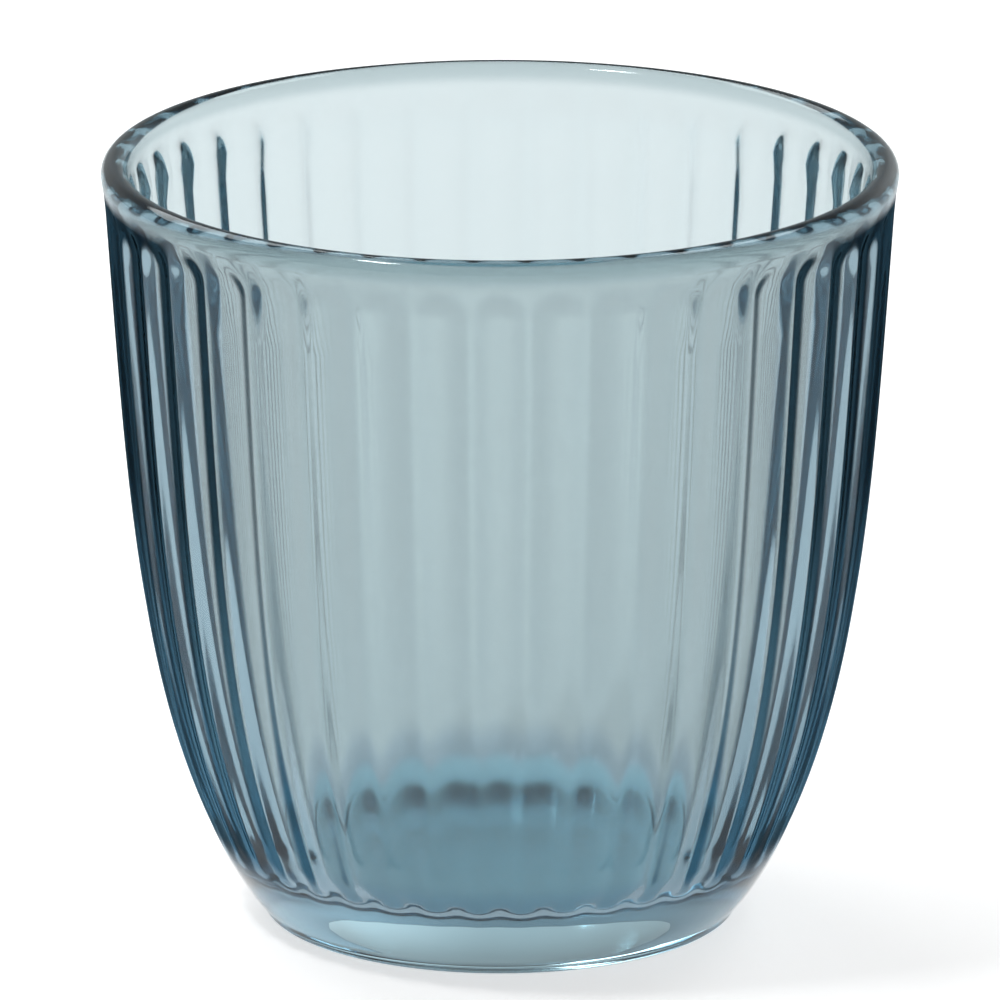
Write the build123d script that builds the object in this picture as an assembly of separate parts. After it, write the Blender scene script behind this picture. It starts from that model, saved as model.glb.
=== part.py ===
"""A short, wide-mouthed vase of pressed glass, fluted all round the outside.

The vase is one piece of glass. It stands on the XY plane, with +Z up and the Z axis as its axis of
revolution. Sizes are in millimetres.
"""
from build123d import *
import math
import os

# Overall size
HEIGHT = 90.0
RIM_DIAMETER = 92.0

# Outer wall between the flutes: a taper, a rounded shoulder and a tighter turn into the foot
TAPER = 6.0
SHOULDER = 12.0
SHOULDER_POWER = 4.4
HEEL = 1.1
HEEL_POWER = 36

# Rim: a fire-polished bead, a little wider than the wall below it
BEAD_DIAMETER = 3.1
BEAD_BLEND = 1.8

# Inside: a smooth wall, thicker lower down, rounded into a heavy floor that is dished in the middle
WALL_AT_RIM = 2.9
WALL_GAIN = 3.5
FLOOR_THICKNESS = 7.0
FLOOR_RISE = 1.3
FLOOR_CORNER_RADIUS = 2.0

# Foot: a flat ring to stand on, around a shallow hollow
FOOT_EDGE_RADIUS = 0.8
FOOT_RING_WIDTH = 2.5
FOOT_HOLLOW = 0.15
FOOT_HOLLOW_SLOPE = 0.02

# Flutes: each is the track of a round-nosed cutter, deepest at the top
FLUTE_COUNT = 42
FLUTE_NOSE_RADIUS = 5.6
FLUTE_DEPTH_TOP = 0.8
FLUTE_DEPTH_BOTTOM = 0.5
FLUTE_TOP = 85.9
FLUTE_BOTTOM = 9.4

# How many spans follow each formula, and the height step that a slope is taken over
WALL_SPANS = 14
FLUTE_SPANS = 10
SLOPE_STEP = 0.01


def outer_radius(z):
    """Radius of the wall between the flutes at height z."""
    fall = (HEIGHT - z) / HEIGHT
    return RIM_DIAMETER / 2 - TAPER * fall - SHOULDER * fall**SHOULDER_POWER - HEEL * fall**HEEL_POWER


def inner_radius(z):
    """Radius of the smooth inside at height z."""
    fall = (HEIGHT - z) / HEIGHT
    return outer_radius(z) - WALL_AT_RIM - WALL_GAIN * fall


def lean(radius, z):
    """How fast a wall moves outward as it rises at height z."""
    return (radius(z + SLOPE_STEP) - radius(z - SLOPE_STEP)) / (2 * SLOPE_STEP)


def heights(low, high, spans):
    """Heights from low to high in equal steps."""
    return [low + (high - low) * i / spans for i in range(spans + 1)]


def flute_depth(z):
    """Depth of a flute below the wall at height z."""
    share = (z - FLUTE_BOTTOM) / (FLUTE_TOP - FLUTE_BOTTOM)
    return FLUTE_DEPTH_BOTTOM + (FLUTE_DEPTH_TOP - FLUTE_DEPTH_BOTTOM) * share


def nose_centre(z):
    """Centre of the cutter's nose as it passes height z of the wall."""
    slope = lean(outer_radius, z)
    reach = (FLUTE_NOSE_RADIUS - flute_depth(z)) / math.hypot(1, slope)
    return (outer_radius(z) + reach, 0, z - reach * slope)


def half_width(depth):
    """Half the width that the cutter's nose opens at a depth."""
    return math.sqrt(2 * FLUTE_NOSE_RADIUS * depth - depth**2)


def blank():
    """The vase before its flutes are cut, turned about the axis."""
    bead = BEAD_DIAMETER / 2
    bead_z = HEIGHT - bead
    bead_r = RIM_DIAMETER / 2 - bead
    wall_top = bead_z - BEAD_BLEND
    outside = [(outer_radius(z), z) for z in heights(FOOT_EDGE_RADIUS, wall_top, WALL_SPANS)]
    floor_edge = FLOOR_THICKNESS + FLOOR_RISE
    inside = [(inner_radius(z), z) for z in heights(floor_edge, wall_top, WALL_SPANS)]
    climb = 2 * FLOOR_RISE / inside[0][0]
    foot_outer = outside[0][0] - FOOT_EDGE_RADIUS
    foot_inner = foot_outer - FOOT_RING_WIDTH
    bead_outer = (bead_r + bead, bead_z)
    bead_inner = (bead_r - bead, bead_z)
    with BuildPart() as turned:
        with BuildSketch(Plane.XZ) as section:
            with BuildLine():
                Spline(outside)
                Spline(outside[-1], bead_outer, tangents=[(lean(outer_radius, wall_top), 1), (0, 1)])
                ThreePointArc(bead_outer, (bead_r, HEIGHT), bead_inner)
                Spline(bead_inner, inside[-1], tangents=[(0, -1), (-lean(inner_radius, wall_top), -1)])
                Spline(inside)
                Spline(inside[0], (0, FLOOR_THICKNESS), tangents=[(-1, -climb), (-1, 0)])
                Line((0, FLOOR_THICKNESS), (0, FOOT_HOLLOW))
                Spline((0, FOOT_HOLLOW), (foot_inner, 0), tangents=[(1, 0), (1, -FOOT_HOLLOW_SLOPE)])
                Line((foot_inner, 0), (foot_outer, 0))
                RadiusArc((foot_outer, 0), outside[0], -FOOT_EDGE_RADIUS)
            make_face()
            corner = section.vertices().sort_by_distance(inside[0])[0]
            fillet(corner, FLOOR_CORNER_RADIUS)
        revolve(axis=Axis.Z)
    return turned.part


def cutter():
    """One flute's tool: the cutter's round nose run down the wall, round at both ends."""
    low = FLUTE_BOTTOM + half_width(FLUTE_DEPTH_BOTTOM)
    high = FLUTE_TOP - half_width(FLUTE_DEPTH_TOP)
    track = Spline([nose_centre(z) for z in heights(low, high, FLUTE_SPANS)])
    run = sweep(Plane(track @ 0, z_dir=track % 0) * Circle(FLUTE_NOSE_RADIUS), path=track)
    ends = [Pos(*(track @ end)) * Sphere(FLUTE_NOSE_RADIUS) for end in (0, 1)]
    return run + ends


def glass_vase():
    """The finished vase, with a flute at every step round the wall, the first facing -Y."""
    tool = Rot(Z=-90) * cutter()
    step = 360 / FLUTE_COUNT
    return blank() - [Rot(Z=step * i) * tool for i in range(FLUTE_COUNT)]


os.makedirs("parts", exist_ok=True)
vase = glass_vase()
vase.label = "glass_vase"
export_step(vase, "parts/glass_vase.step")
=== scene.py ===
"""Looks of a short fluted glass vase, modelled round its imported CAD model, in metres."""
import math

import bmesh
import bpy
from bpy.props import FloatProperty, FloatVectorProperty, IntProperty, PointerProperty
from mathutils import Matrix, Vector


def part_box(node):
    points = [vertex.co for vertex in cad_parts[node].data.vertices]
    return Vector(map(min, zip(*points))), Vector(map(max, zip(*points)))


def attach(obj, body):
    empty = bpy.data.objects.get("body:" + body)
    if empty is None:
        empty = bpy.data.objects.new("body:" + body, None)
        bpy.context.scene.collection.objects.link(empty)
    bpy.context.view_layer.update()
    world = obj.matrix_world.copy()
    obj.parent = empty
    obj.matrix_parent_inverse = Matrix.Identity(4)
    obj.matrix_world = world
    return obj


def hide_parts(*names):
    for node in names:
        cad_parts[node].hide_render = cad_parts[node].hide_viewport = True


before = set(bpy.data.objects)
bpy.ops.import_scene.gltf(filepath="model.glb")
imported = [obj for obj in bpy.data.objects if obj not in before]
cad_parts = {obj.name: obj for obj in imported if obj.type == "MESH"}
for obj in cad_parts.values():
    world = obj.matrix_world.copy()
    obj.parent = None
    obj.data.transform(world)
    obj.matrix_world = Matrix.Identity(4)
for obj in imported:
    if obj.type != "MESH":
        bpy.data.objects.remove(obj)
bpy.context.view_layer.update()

bl_info = {
    "name": "Fluted Glass Vase",
    "version": (1, 0, 0),
    "blender": (4, 5, 0),
    "location": "View3D > Sidebar > Vase",
    "description": "Models a short fluted vase of pressed glass and a plain studio round it",
    "category": "Add Mesh",
}

MM = 0.001
NODE = "glass_vase"
LOW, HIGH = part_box(NODE)
HEIGHT = HIGH[2] - LOW[2]
RIM_RADIUS = (HIGH[0] - LOW[0]) / 2

# Outer wall between the flutes: a taper, a rounded shoulder and a tighter turn into the foot
TAPER = 6.0 * MM
SHOULDER = 12.0 * MM
SHOULDER_POWER = 4.4
HEEL = 1.1 * MM
HEEL_POWER = 36
SLOPE_STEP = 0.01 * MM

# Foot: a flat ring to stand on, around a shallow hollow
FOOT_EDGE = 0.8 * MM
FOOT_RING = 2.5 * MM
FOOT_HOLLOW = 0.15 * MM
HUB = 3.0 * MM

# Rim bead and the short stretch that eases it into the wall
BEAD = 1.55 * MM
BEAD_Z = HEIGHT - BEAD
BEAD_R = RIM_RADIUS - BEAD
WALL_TOP = BEAD_Z - 1.8 * MM

# Where the flutes stop, and the radius of the round nose that would cut them
FLUTE_LOW = 9.4 * MM
FLUTE_HIGH = 85.9 * MM
FLUTE_NOSE = 5.6 * MM

# Mesh columns across one flute, an even number, and the merge distance of the seams
COLUMNS = 16
MERGE = 0.002 * MM

# Rows of the outer wall are closer together near the flutes' ends, over these heights
LOW_END = 3.5 * MM
HIGH_END = 5 * MM
ABOVE_FLUTES = 0.3 * MM

# Film: how much lies on the outside of the rim, and where the pooled floor tint and the darker tint
# at the foot of the wall fade out above the floor's edge
RIM_FILM = 0.8
POOL_FADE = -0.3 * MM, 0.5 * MM
DARKER_FADE = 1.0 * MM, 4.5 * MM

# Painted dark reflection on the outer wall's steep faces: the heights where it starts, and where it
# goes from low to high
PAINTED_DARK_START = 6 * MM, 12 * MM
PAINTED_DARK_CHANGE = 15 * MM, 55 * MM

# How much of the painted dark reflection shows (second) as a face turns edge-on to the view
# (first).
# This painted reflection stands in for dark surroundings seen in the flutes' steep faces, and isn't
# a property of the glass
PAINTED_DARK_CURVE = ((0, 0), (0.03, 0), (0.12, 0.12), (0.45, 0.25), (0.58, 1.0), (1, 1))

# Facing values either side of total reflection, past which the inner face mirrors all light
MIRROR_SLANT = 0.2, 0.28

# Glass surface: length and height of the mould's waves, and roughness of the film
WAVE_LENGTH = 12 * MM
WAVER = 0.02 * MM
HAZE = 0.1
GLASS_IOR = 1.52

# Surroundings: strength of the sky by direction, and the directions over which it changes
WORLD_FRONT, WORLD_BACK, WORLD_TOP = 0.4, 0.7, 0.3
WORLD_LEFT, WORLD_RIGHT = 0.85, 1.5
FRONT_TO_BACK = -0.3, 0.5
LEVEL_TO_TOP = 0.25, 0.6
LEFT_TO_RIGHT = 0.0, 0.45

# Softboxes: name, place, target, size in metres, and power in watts
LIGHTS = (
    ("key", (-0.5, 0.75, 0.9), (0, 0.15, 0), (0.8, 0.5), 5.2),
    ("fill", (0.6, 0.6, 1.2), (0, 0.2, 0), (0.5, 0.5), 3.2),
    ("window", (-0.37, -0.18, 1.0), (0, 0, HEIGHT), (0.14, 0.10), 3.0),
)

# Studio floor, just under the foot, and the light that comes up through it
FLOOR_SIZE = 12
FLOOR_DROP = 0.02 * MM
FLOOR_GLOW = 0.6
GRIT = 3 * MM

# Camera: lens and sensor width in millimetres, how far it sees, and the height it aims at
LENS, SENSOR = 519.4, 36
CLIP_END = 100
AIM = 48.9 * MM
GLASS_BOUNCES = 24
DIFFUSE_BOUNCES = 4


def linear(code):
    """A hex sRGB colour as linear red, green, blue."""
    parts = [int(code[i : i + 2], 16) / 255 for i in (0, 2, 4)]
    return [c / 12.92 if c <= 0.04045 else ((c + 0.055) / 1.055) ** 2.4 for c in parts]


def add_node(tree, kind, settings=None, links=None):
    """Adds a node, sets its options and sockets, and links sockets into it."""
    node = tree.nodes.new(kind)
    for name, value in (settings or {}).items():
        if name in node.bl_rna.properties:
            setattr(node, name, value)
        else:
            node.inputs[name].default_value = value
    for name, socket in (links or {}).items():
        tree.links.new(socket, node.inputs[name])
    return node


class VaseProperties(bpy.types.PropertyGroup):
    """Sizes and colours of the vase and its studio."""

    flute_count: IntProperty(name="Flutes", description="Flutes round the wall", default=42, min=12)
    flute_depth_top: FloatProperty(
        name="Depth at top", description="Depth of a flute at its upper end", default=0.8 * MM,
        unit="LENGTH",
    )
    flute_depth_bottom: FloatProperty(
        name="Depth at bottom", description="Depth of a flute at its lower end", default=0.5 * MM,
        unit="LENGTH",
    )
    land_softness: FloatProperty(
        name="Land softness", description="How far the flame rounded the edges between flutes",
        default=0.45, subtype="FACTOR", min=0, max=1,
    )
    wall: FloatProperty(
        name="Wall at rim", description="Thickness of the wall below the rim", default=2.9 * MM,
        unit="LENGTH",
    )
    wall_gain: FloatProperty(
        name="Wall gain", description="How much thicker the wall is at the foot",
        default=3.5 * MM, unit="LENGTH",
    )
    floor: FloatProperty(
        name="Floor", description="Thickness of the heavy floor in its middle", default=7.0 * MM,
        unit="LENGTH",
    )
    floor_rise: FloatProperty(
        name="Floor rise", description="How much higher the dished floor is at the wall",
        default=1.3 * MM, unit="LENGTH",
    )
    floor_corner: FloatProperty(
        name="Floor corner", description="Radius between wall and floor", default=2.0 * MM,
        unit="LENGTH",
    )
    film_wall: FloatVectorProperty(
        name="Wall film", description="Tint of the film on the inside wall", subtype="COLOR",
        default=linear("CCD6D8"), min=0, max=1,
    )
    film_floor: FloatVectorProperty(
        name="Floor film", description="Tint of the film where it pooled on the floor",
        subtype="COLOR", default=linear("AAD5E3"), min=0, max=1,
    )
    # A darker, greyer film tint near the foot of the inside wall
    film_corner: FloatVectorProperty(
        name="Corner film", description="Tint of the film gathered at the foot of the wall",
        subtype="COLOR", default=linear("AABBC5"), min=0, max=1,
    )
    film_twice: FloatVectorProperty(
        name="Film mirrored", description="Tint of what the filmed wall mirrors", subtype="COLOR",
        default=linear("98B0BB"), min=0, max=1,
    )
    # Painted dark reflection, standing in for dark surroundings seen in the lower wall's steep
    # faces
    painted_dark_low: FloatVectorProperty(
        name="Slant tint, low", description="Tint of the lower wall seen edge-on", subtype="COLOR",
        default=linear("6890A6"), min=0, max=1,
    )
    # Painted dark reflection, standing in for dark surroundings seen in the upper wall's steep
    # faces
    painted_dark_high: FloatVectorProperty(
        name="Slant tint, high", description="Tint of the upper wall seen edge-on", subtype="COLOR",
        default=linear("2D434F"), min=0, max=1,
    )
    glass_tint: FloatVectorProperty(
        name="Glass tint", description="What the solid glass absorbs least", subtype="COLOR",
        default=(0.05, 0.70, 0.89), min=0, max=1,
    )
    glass_density: FloatProperty(
        name="Glass density", description="How strongly the solid glass absorbs, per metre",
        default=10.8, min=0,
    )
    camera_distance: FloatProperty(
        name="Camera distance", description="From the camera to the middle of the vase",
        default=1.674, unit="LENGTH",
    )
    camera_elevation: FloatProperty(
        name="Camera elevation", description="Height of the view above level",
        default=math.radians(16.43), subtype="ANGLE",
    )


def fall(z):
    """How far down the vase a height is, 0 at the rim and 1 at the foot."""
    return (HEIGHT - z) / HEIGHT


def outer_radius(z):
    """Radius of the wall between the flutes at height z."""
    down = fall(z)
    return RIM_RADIUS - TAPER * down - SHOULDER * down**SHOULDER_POWER - HEEL * down**HEEL_POWER


def inner_radius(z, sizes):
    """Radius of the smooth inside at height z."""
    return outer_radius(z) - sizes.wall - sizes.wall_gain * fall(z)


def lean(radius, z):
    """How fast a wall moves outward as it rises at height z."""
    return (radius(z + SLOPE_STEP) - radius(z - SLOPE_STEP)) / (2 * SLOPE_STEP)


def steps(start, end, count):
    """Values from start to end in equal steps, without start."""
    return [start + (end - start) * i / count for i in range(1, count + 1)]


def arc(centre, radius, start, end, count):
    """Points along an arc in the (radius, height) plane, without its start."""
    angles = steps(start, end, count)
    return [(centre[0] + radius * math.cos(a), centre[1] + radius * math.sin(a)) for a in angles]


def ease(start, end, start_way, end_way, count):
    """Points along a smooth curve that leaves start and arrives at end along the given ways."""
    span = math.dist(start, end)
    first = Vector(start_way).normalized() * span
    last = Vector(end_way).normalized() * span
    points = []
    for t in steps(0, 1, count):
        a = 2 * t**3 - 3 * t**2 + 1
        point = Vector(start) * a + first * (t**3 - 2 * t**2 + t)
        points.append(tuple(point + Vector(end) * (1 - a) + last * (t**3 - t**2)))
    return points


def floor_height(radius, sizes):
    """Height of the dished floor at a radius, and how steeply it climbs there."""
    edge = inner_radius(sizes.floor + sizes.floor_rise, sizes)
    height = sizes.floor + sizes.floor_rise * (radius / edge) ** 2
    return height, 2 * sizes.floor_rise * radius / edge**2


def floor_corner(sizes):
    """Centre of the round between floor and wall, and the height where it meets the wall."""
    low, high = sizes.floor, sizes.floor + sizes.floor_rise + 4 * sizes.floor_corner
    for _ in range(50):
        z = (low + high) / 2
        slope = lean(lambda h: inner_radius(h, sizes), z)
        reach = sizes.floor_corner / math.hypot(1, slope)
        centre = (inner_radius(z, sizes) - reach, z + reach * slope)
        below, climb = floor_height(centre[0], sizes)
        if centre[1] > below + sizes.floor_corner * math.hypot(1, climb):
            high = z
        else:
            low = z
    return centre, z


def outline(sizes):
    """The rings of the vase as (radius, height).

    They run under the foot, up the outside, over the rim, down the inside and across the floor.
    """
    def inside(z):
        return inner_radius(z, sizes)

    edge_radius = outer_radius(FOOT_EDGE)
    foot_outer = edge_radius - FOOT_EDGE
    foot_inner = foot_outer - FOOT_RING
    under = [HUB] + steps(HUB, foot_inner, 8)
    rings = [(r, FOOT_HOLLOW * (1 - (r / foot_inner) ** 2)) for r in under]
    rings += [(r, 0) for r in steps(foot_inner, foot_outer, 3)]
    rings += arc((foot_outer, FOOT_EDGE), FOOT_EDGE, -math.pi / 2, 0, 5)
    bands = [(FOOT_EDGE, FLUTE_LOW, 8), (FLUTE_LOW, FLUTE_LOW + LOW_END, 8)]
    bands += [(FLUTE_LOW + LOW_END, FLUTE_HIGH - HIGH_END, 32)]
    bands += [(FLUTE_HIGH - HIGH_END, FLUTE_HIGH + ABOVE_FLUTES, 12)]
    bands += [(FLUTE_HIGH + ABOVE_FLUTES, WALL_TOP, 1)]
    for low, high, count in bands:
        rings += [(outer_radius(z), z) for z in steps(low, high, count)]
    bead_outer, bead_inner = (BEAD_R + BEAD, BEAD_Z), (BEAD_R - BEAD, BEAD_Z)
    rings += ease(rings[-1], bead_outer, (lean(outer_radius, WALL_TOP), 1), (0, 1), 4)
    rings += arc((BEAD_R, BEAD_Z), BEAD, 0, math.pi, 12)
    down = (-lean(inside, WALL_TOP), -1)
    rings += ease(bead_inner, (inside(WALL_TOP), WALL_TOP), (0, -1), down, 4)
    centre, meet = floor_corner(sizes)
    rings += [(inside(z), z) for z in steps(WALL_TOP, meet, 24)]
    start = math.atan2(meet - centre[1], inside(meet) - centre[0])
    below, climb = floor_height(centre[0], sizes)
    rings += arc(centre, sizes.floor_corner, start, math.atan(climb) - math.pi / 2, 8)
    rings += [(r, floor_height(r, sizes)[0]) for r in steps(rings[-1][0], HUB, 8)]
    return rings


def flute_cut(sizes, radius, z, offset):
    """How deep the flute is at height z, at a distance round the wall from its middle."""
    def width(depth):
        return math.sqrt(2 * FLUTE_NOSE * depth - depth**2)

    low = FLUTE_LOW + width(sizes.flute_depth_bottom)
    high = FLUTE_HIGH - width(sizes.flute_depth_top)
    nearest = min(max(z, low), high)
    share = (nearest - FLUTE_LOW) / (FLUTE_HIGH - FLUTE_LOW)
    depth = sizes.flute_depth_bottom + (sizes.flute_depth_top - sizes.flute_depth_bottom) * share
    across = offset * radius
    inside = FLUTE_NOSE**2 - across**2 - (z - nearest) ** 2
    cut = math.sqrt(max(inside, 0)) - (FLUTE_NOSE - depth)
    # The softened edges sink the lands a little too
    soft = sizes.land_softness * depth
    return (cut + math.sqrt(cut**2 + soft**2)) / 2


def select(mesh, chosen):
    """Selects those vertices of the mesh in edit mode, and no others."""
    bpy.ops.mesh.select_all(action="DESELECT")
    shape = bmesh.from_edit_mesh(mesh)
    for vertex in shape.verts:
        vertex.select = chosen(vertex)
    shape.select_flush_mode()
    bmesh.update_edit_mesh(mesh)


def model_flute(sizes):
    """One flute's slice of the vase, from under the foot up the outside and down to the floor."""
    rings = outline(sizes)
    pitch = 2 * math.pi / sizes.flute_count
    radius, z = rings[0]
    bpy.ops.mesh.primitive_circle_add(
        vertices=sizes.flute_count * COLUMNS, radius=radius, location=(0, 0, z)
    )
    vase = bpy.context.object
    vase.name = vase.data.name = "pressed_glass_vase"
    bpy.ops.object.transform_apply(location=True, rotation=True, scale=True)
    bpy.ops.object.mode_set(mode="EDIT")
    bpy.context.tool_settings.mesh_select_mode = (True, False, False)
    # The slice faces -Y, with the flute's middle on it
    reach = pitch * (COLUMNS + 1) / (2 * COLUMNS)
    select(vase.data, lambda v: abs(math.atan2(v.co.x, -v.co.y)) > reach)
    bpy.ops.mesh.delete(type="VERT")
    bpy.ops.mesh.select_all(action="SELECT")
    for next_radius, next_z in rings[1:]:
        bpy.ops.mesh.extrude_region_move(TRANSFORM_OT_translate={"value": (0, 0, next_z - z)})
        scale = next_radius / radius
        bpy.ops.transform.resize(value=(scale, scale, 1), center_override=(0, 0, next_z))
        radius, z = next_radius, next_z
    press_flute(vase, sizes, pitch / COLUMNS)
    return vase


def press_flute(vase, sizes, column):
    """Pushes the slice's outer wall in to the flute's hollow, a pair of mesh columns at a time."""
    middle = (sizes.wall + sizes.wall_gain) / 2
    shape = bmesh.from_edit_mesh(vase.data)
    shape.verts.ensure_lookup_table()
    pairs = {}
    for vertex in shape.verts:
        x, y, z = vertex.co
        radius = math.hypot(x, y)
        place = abs(round(math.atan2(x, -y) / column))
        if FOOT_EDGE < z < WALL_TOP and radius > outer_radius(z) - middle:
            pairs.setdefault((round(z / MERGE), place), []).append((vertex.index, radius, z))
    for (_, place), members in pairs.items():
        radius, z = members[0][1:]
        cut = flute_cut(sizes, radius, z, place * column)
        if cut < MERGE:
            continue
        wanted = {index for index, _, _ in members}
        select(vase.data, lambda v: v.index in wanted)
        scale = (radius - cut) / radius
        bpy.ops.transform.resize(value=(scale, scale, 1), center_override=(0, 0, z))


def close_round(vase, sizes):
    """Copies the slice round the axis, joins the copies and closes the foot and the floor."""
    turn = 2 * math.pi / sizes.flute_count
    bpy.ops.mesh.select_all(action="SELECT")
    bpy.ops.mesh.spin(
        steps=sizes.flute_count - 1, dupli=True, angle=turn * (sizes.flute_count - 1),
        center=(0, 0, 0), axis=(0, 0, 1),
    )
    bpy.ops.mesh.select_all(action="SELECT")
    bpy.ops.mesh.remove_doubles(threshold=MERGE)
    for height in (0, sizes.floor):
        select(vase.data, lambda v: v.is_boundary and abs(v.co.z - height) < MM)
        bpy.ops.mesh.extrude_region()
        bpy.ops.mesh.merge(type="CENTER")
    bpy.ops.mesh.select_all(action="SELECT")
    bpy.ops.mesh.normals_make_consistent(inside=False)
    bpy.ops.mesh.select_all(action="DESELECT")
    bpy.ops.mesh.select_non_manifold()
    loose = bmesh.from_edit_mesh(vase.data)
    open_edges = sum(e.select for e in loose.edges)
    bpy.ops.object.mode_set(mode="OBJECT")
    if open_edges:
        raise RuntimeError(f"the vase has {open_edges} open edges")
    bpy.ops.object.shade_smooth()


def smoothstep(low, high, value):
    """0 below low, 1 above high and a smooth rise between them."""
    t = min(max((value - low) / (high - low), 0), 1)
    return t * t * (3 - 2 * t)


def paint_film(vase, sizes):
    """Stores on each point how much film it carries, and how much of the outer wall's painted dark
    reflection it takes.
    """
    film, wall = [], []
    for vertex in vase.data.vertices:
        x, y, z = vertex.co
        radius = math.hypot(x, y)
        middle = (outer_radius(z) + inner_radius(z, sizes)) / 2
        inside = radius < middle and z > sizes.floor - MM
        film.append(1 if inside else RIM_FILM * smoothstep(WALL_TOP, BEAD_Z, z))
        # Where the outer wall takes the painted dark reflection
        painted_dark_band = smoothstep(*PAINTED_DARK_START, z) * (1 - smoothstep(FLUTE_HIGH, BEAD_Z, z))
        wall.append(0 if inside else painted_dark_band)
    for name, values in (("film", film), ("wall", wall)):
        attribute = vase.data.attributes.new(name, "FLOAT", "POINT")
        attribute.data.foreach_set("value", values)


def pressed_glass(sizes):
    """Pressed soda-lime glass, fire-polished, with a translucent blue film sprayed inside.

    Pressing leaves the surface smooth but faintly uneven, so what shows through it wavers. The
    solid glass is almost clear. The film tints whatever is seen through it, most where it pooled
    on the floor. The outer wall carries a painted dark reflection where it is seen edge-on,
    standing in for dark surroundings.
    """
    material = bpy.data.materials.new("pressed_glass_blue_film")
    material.use_nodes = True
    tree = material.node_tree
    tree.nodes.clear()
    place = add_node(tree, "ShaderNodeTexCoord")
    height = add_node(tree, "ShaderNodeSeparateXYZ", links={"Vector": place.outputs["Object"]})
    edge = sizes.floor + sizes.floor_rise
    pool = add_node(
        tree, "ShaderNodeMapRange",
        {"interpolation_type": "SMOOTHSTEP", "From Min": edge + POOL_FADE[0],
         "From Max": edge + POOL_FADE[1],
         "To Min": 1.0, "To Max": 0.0},
        {"Value": height.outputs["Z"]},
    )
    # Darker tint near the foot of the inside wall, fading out upward
    darker = add_node(
        tree, "ShaderNodeMapRange",
        {"interpolation_type": "SMOOTHSTEP", "From Min": edge + DARKER_FADE[0],
         "From Max": edge + DARKER_FADE[1],
         "To Min": 1.0, "To Max": 0.0},
        {"Value": height.outputs["Z"]},
    )
    # Light that the wall's inner face mirrors has gone through its film twice, and at a slant
    side = add_node(tree, "ShaderNodeNewGeometry")
    slant = add_node(tree, "ShaderNodeLayerWeight", {"Blend": 0.5})
    mirrored = add_node(
        tree, "ShaderNodeMapRange",
        {"interpolation_type": "SMOOTHSTEP", "From Min": MIRROR_SLANT[0],
         "From Max": MIRROR_SLANT[1]},
        {"Value": slant.outputs["Facing"]},
    )
    within = add_node(tree, "ShaderNodeMath", {"operation": "MULTIPLY"})
    tree.links.new(mirrored.outputs["Result"], within.inputs[0])
    tree.links.new(side.outputs["Backfacing"], within.inputs[1])
    twice = add_node(
        tree, "ShaderNodeMix",
        {"data_type": "RGBA", "A": (*sizes.film_wall, 1), "B": (*sizes.film_twice, 1)},
        {"Factor": within.outputs[0]},
    )
    lower = add_node(
        tree, "ShaderNodeMix", {"data_type": "RGBA", "B": (*sizes.film_corner, 1)},
        {"Factor": darker.outputs["Result"], "A": twice.outputs["Result"]},
    )
    # From below, the floor mirrors under its film, so the pooled film tints only what is seen
    # through it
    above = add_node(tree, "ShaderNodeMath", {"operation": "SUBTRACT"})
    tree.links.new(pool.outputs["Result"], above.inputs[0])
    tree.links.new(side.outputs["Backfacing"], above.inputs[1])
    above.use_clamp = True
    coat = add_node(
        tree, "ShaderNodeMix", {"data_type": "RGBA", "B": (*sizes.film_floor, 1)},
        {"Factor": above.outputs[0], "A": lower.outputs["Result"]},
    )
    film = add_node(tree, "ShaderNodeAttribute", {"attribute_name": "film"})
    tint = add_node(
        tree, "ShaderNodeMix", {"data_type": "RGBA", "A": (1, 1, 1, 1)},
        {"Factor": film.outputs["Fac"], "B": coat.outputs["Result"]},
    )
    # How much of the painted dark reflection shows as the face turns edge-on
    painted_dark_amount = add_node(tree, "ShaderNodeFloatCurve", links={"Value": slant.outputs["Facing"]})
    curve = painted_dark_amount.mapping.curves[0]
    for point, knot in zip(curve.points, (PAINTED_DARK_CURVE[0], PAINTED_DARK_CURVE[-1])):
        point.location = knot
    for knot in PAINTED_DARK_CURVE[1:-1]:
        curve.points.new(*knot)
    painted_dark_amount.mapping.update()
    # Colour of the painted dark reflection, from the low tint to the high one up the wall
    up = add_node(
        tree, "ShaderNodeMapRange", {"From Min": PAINTED_DARK_CHANGE[0], "From Max": PAINTED_DARK_CHANGE[1]},
        {"Value": height.outputs["Z"]},
    )
    deep = add_node(
        tree, "ShaderNodeMix",
        {"data_type": "RGBA", "A": (*sizes.painted_dark_low, 1), "B": (*sizes.painted_dark_high, 1)},
        {"Factor": up.outputs["Result"]},
    )
    # Only the outer wall as seen from outside takes the painted dark reflection
    wall = add_node(tree, "ShaderNodeAttribute", {"attribute_name": "wall"})
    share = add_node(tree, "ShaderNodeMath", {"operation": "MULTIPLY"})
    outside = add_node(tree, "ShaderNodeMath", {"operation": "SUBTRACT"})
    outside.use_clamp = True
    tree.links.new(wall.outputs["Fac"], outside.inputs[0])
    tree.links.new(side.outputs["Backfacing"], outside.inputs[1])
    tree.links.new(outside.outputs[0], share.inputs[0])
    tree.links.new(painted_dark_amount.outputs["Value"], share.inputs[1])
    colour = add_node(
        tree, "ShaderNodeMix", {"data_type": "RGBA"},
        {"Factor": share.outputs[0], "A": tint.outputs["Result"], "B": deep.outputs["Result"]},
    )
    # Unevenness left by the mould: waves about 12 mm long, at most two hundredths of a mm high
    waver = add_node(
        tree, "ShaderNodeTexNoise", {"Scale": 1 / WAVE_LENGTH, "Detail": 2.0, "Roughness": 0.45},
        {"Vector": place.outputs["Object"]},
    )
    bump = add_node(
        tree, "ShaderNodeBump", {"Strength": 1.0, "Distance": WAVER},
        {"Height": waver.outputs["Fac"]},
    )
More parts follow.
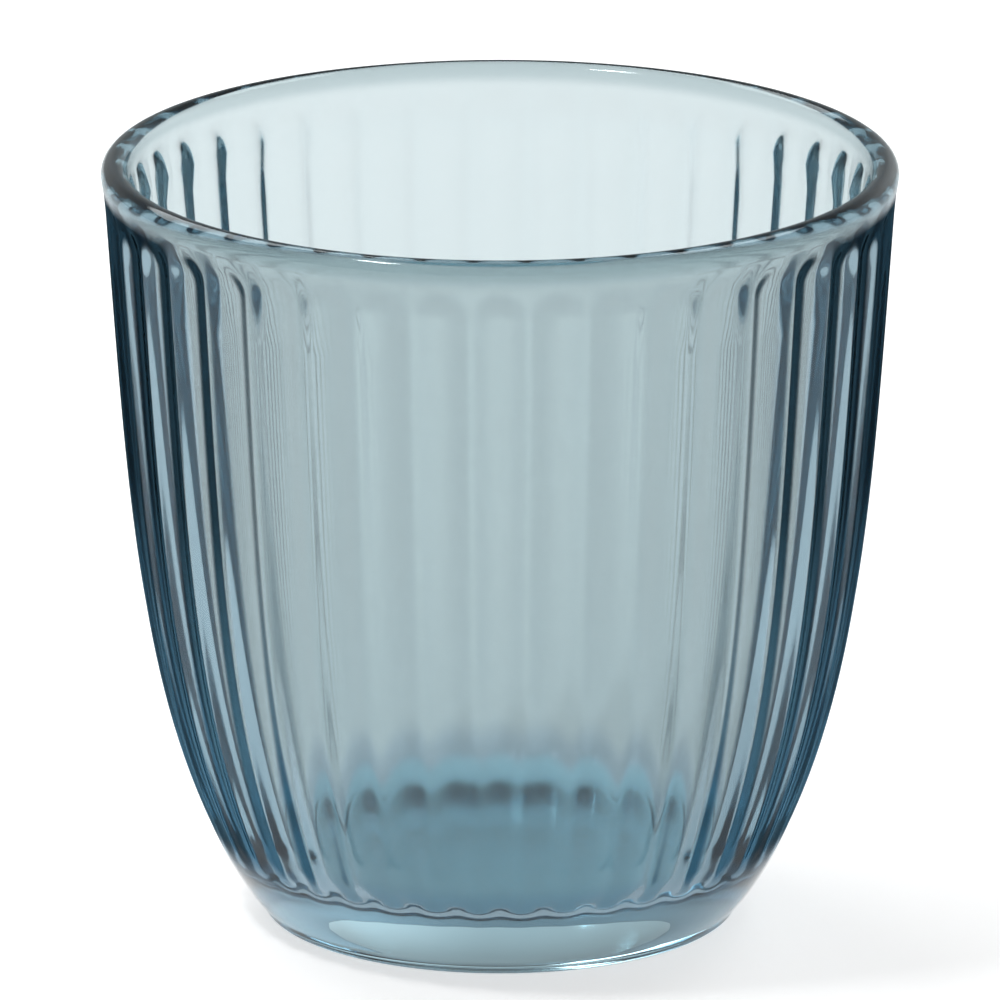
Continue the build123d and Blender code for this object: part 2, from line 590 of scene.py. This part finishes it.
    # The outside is fire-polished, the sprayed film a little hazy
    haze = add_node(tree, "ShaderNodeMapRange", {"To Max": HAZE}, {"Value": film.outputs["Fac"]})
    glass = add_node(
        tree, "ShaderNodeBsdfGlass", {"IOR": GLASS_IOR},
        {"Color": colour.outputs["Result"], "Roughness": haze.outputs["Result"],
         "Normal": bump.outputs["Normal"]},
    )
    solid = add_node(
        tree, "ShaderNodeVolumeAbsorption",
        {"Color": (*sizes.glass_tint, 1), "Density": sizes.glass_density},
    )
    add_node(
        tree, "ShaderNodeOutputMaterial",
        links={"Surface": glass.outputs["BSDF"], "Volume": solid.outputs["Volume"]},
    )
    return material


class VASE_OT_model(bpy.types.Operator):
    """Model the vase from one flute's slice, and give it its glass"""

    bl_idname = "vase.model"
    bl_label = "Glass Vase"

    def execute(self, context):
        sizes = context.scene.vase
        vase = model_flute(sizes)
        close_round(vase, sizes)
        paint_film(vase, sizes)
        vase.data.materials.append(pressed_glass(sizes))
        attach(vase, "root")
        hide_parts(NODE)
        return {"FINISHED"}


def soft_light(name, place, target, size, power):
    """A rectangular softbox that faces a point."""
    light = bpy.data.lights.new(name, "AREA")
    light.shape = "RECTANGLE"
    light.size, light.size_y = size
    light.energy = power
    lamp = bpy.data.objects.new(name, light)
    bpy.context.scene.collection.objects.link(lamp)
    lamp.location = place
    lamp.rotation_euler = (Vector(target) - Vector(place)).to_track_quat("-Z", "Y").to_euler()


def studio_world():
    """Soft light from all round, brighter behind the vase than above it or in front."""
    world = bpy.data.worlds.new("studio")
    world.use_nodes = True
    tree = world.node_tree
    tree.nodes.clear()
    way = add_node(tree, "ShaderNodeTexCoord")
    split = add_node(tree, "ShaderNodeSeparateXYZ", links={"Vector": way.outputs["Generated"]})
    back = add_node(
        tree, "ShaderNodeMapRange",
        {"interpolation_type": "SMOOTHSTEP", "From Min": FRONT_TO_BACK[0],
         "From Max": FRONT_TO_BACK[1], "To Min": WORLD_FRONT, "To Max": WORLD_BACK},
        {"Value": split.outputs["Y"]},
    )
    top = add_node(
        tree, "ShaderNodeMapRange",
        {"interpolation_type": "SMOOTHSTEP", "From Min": LEVEL_TO_TOP[0],
         "From Max": LEVEL_TO_TOP[1], "To Min": 1.0, "To Max": WORLD_TOP},
        {"Value": split.outputs["Z"]},
    )
    sideways = add_node(
        tree, "ShaderNodeMapRange",
        {"interpolation_type": "SMOOTHSTEP", "From Min": LEFT_TO_RIGHT[0],
         "From Max": LEFT_TO_RIGHT[1], "To Min": WORLD_LEFT, "To Max": WORLD_RIGHT},
        {"Value": split.outputs["X"]},
    )
    strength = back.outputs["Result"]
    for part in (top, sideways):
        product = add_node(tree, "ShaderNodeMath", {"operation": "MULTIPLY"})
        tree.links.new(strength, product.inputs[0])
        tree.links.new(part.outputs["Result"], product.inputs[1])
        strength = product.outputs[0]
    sky = add_node(tree, "ShaderNodeBackground", {"Color": (1, 1, 1, 1)}, {"Strength": strength})
    add_node(tree, "ShaderNodeOutputWorld", links={"Surface": sky.outputs["Background"]})
    return world


def matt_acrylic():
    """Matt white acrylic sheet, cast and sanded, lit evenly from below."""
    material = bpy.data.materials.new("matt_white_acrylic")
    material.use_nodes = True
    tree = material.node_tree
    place = add_node(tree, "ShaderNodeTexCoord")
    sanding = add_node(
        tree, "ShaderNodeTexNoise", {"Scale": 1 / GRIT, "Detail": 2.0},
        {"Vector": place.outputs["Object"]},
    )
    rough = add_node(
        tree, "ShaderNodeMapRange", {"To Min": 0.85, "To Max": 0.95},
        {"Value": sanding.outputs["Fac"]},
    )
    shader = tree.nodes["Principled BSDF"]
    shader.inputs["Base Color"].default_value = (*linear("E7E7E7"), 1)
    shader.inputs["Emission Color"].default_value = (1, 1, 1, 1)
    shader.inputs["Emission Strength"].default_value = FLOOR_GLOW
    tree.links.new(rough.outputs["Result"], shader.inputs["Roughness"])
    return material


class VASE_OT_stage(bpy.types.Operator):
    """Lay a plain pale floor and set up the soft light and the camera"""

    bl_idname = "vase.stage"
    bl_label = "Studio"

    def execute(self, context):
        sizes = context.scene.vase
        bpy.ops.mesh.primitive_plane_add(size=FLOOR_SIZE, location=(0, 0, -FLOOR_DROP))
        floor = context.object
        floor.name = floor.data.name = "floor"
        bpy.ops.object.transform_apply(location=True, rotation=True, scale=True)
        floor.data.materials.append(matt_acrylic())
        context.scene.world = studio_world()
        for light in LIGHTS:
            soft_light(*light)
        lens = bpy.data.cameras.new("camera")
        lens.lens = LENS
        lens.sensor_width = SENSOR
        lens.clip_end = CLIP_END
        camera = bpy.data.objects.new("camera", lens)
        context.scene.collection.objects.link(camera)
        up, away = math.sin(sizes.camera_elevation), math.cos(sizes.camera_elevation)
        far = sizes.camera_distance
        camera.location = (0, -far * away, AIM + far * up)
        camera.rotation_euler = (math.pi / 2 - sizes.camera_elevation, 0, 0)
        context.scene.camera = camera
        cycles = context.scene.cycles
        cycles.max_bounces = GLASS_BOUNCES
        cycles.transmission_bounces = cycles.glossy_bounces = GLASS_BOUNCES
        cycles.diffuse_bounces = DIFFUSE_BOUNCES
        cycles.caustics_refractive = cycles.caustics_reflective = True
        context.scene.view_settings.view_transform = "Standard"
        return {"FINISHED"}


class VASE_PT_panel(bpy.types.Panel):
    """Vase sizes, colours and buttons in the 3D view's sidebar"""

    bl_idname = "VASE_PT_panel"
    bl_label = "Fluted Glass Vase"
    bl_space_type = "VIEW_3D"
    bl_region_type = "UI"
    bl_category = "Vase"

    def draw(self, context):
        for name in VaseProperties.__annotations__:
            self.layout.prop(context.scene.vase, name)
        for button in (VASE_OT_model, VASE_OT_stage):
            self.layout.operator(button.bl_idname)


CLASSES = (VaseProperties, VASE_OT_model, VASE_OT_stage, VASE_PT_panel)


def register():
    for kind in CLASSES:
        bpy.utils.register_class(kind)
    bpy.types.Scene.vase = PointerProperty(type=VaseProperties)


def unregister():
    del bpy.types.Scene.vase
    for kind in reversed(CLASSES):
        bpy.utils.unregister_class(kind)


def main():
    """Models the vase and its studio."""
    register()
    bpy.ops.object.select_all(action="DESELECT")
    bpy.ops.vase.model()
    bpy.ops.object.select_all(action="DESELECT")
    bpy.ops.vase.stage()


if __name__ == "__main__":
    main()
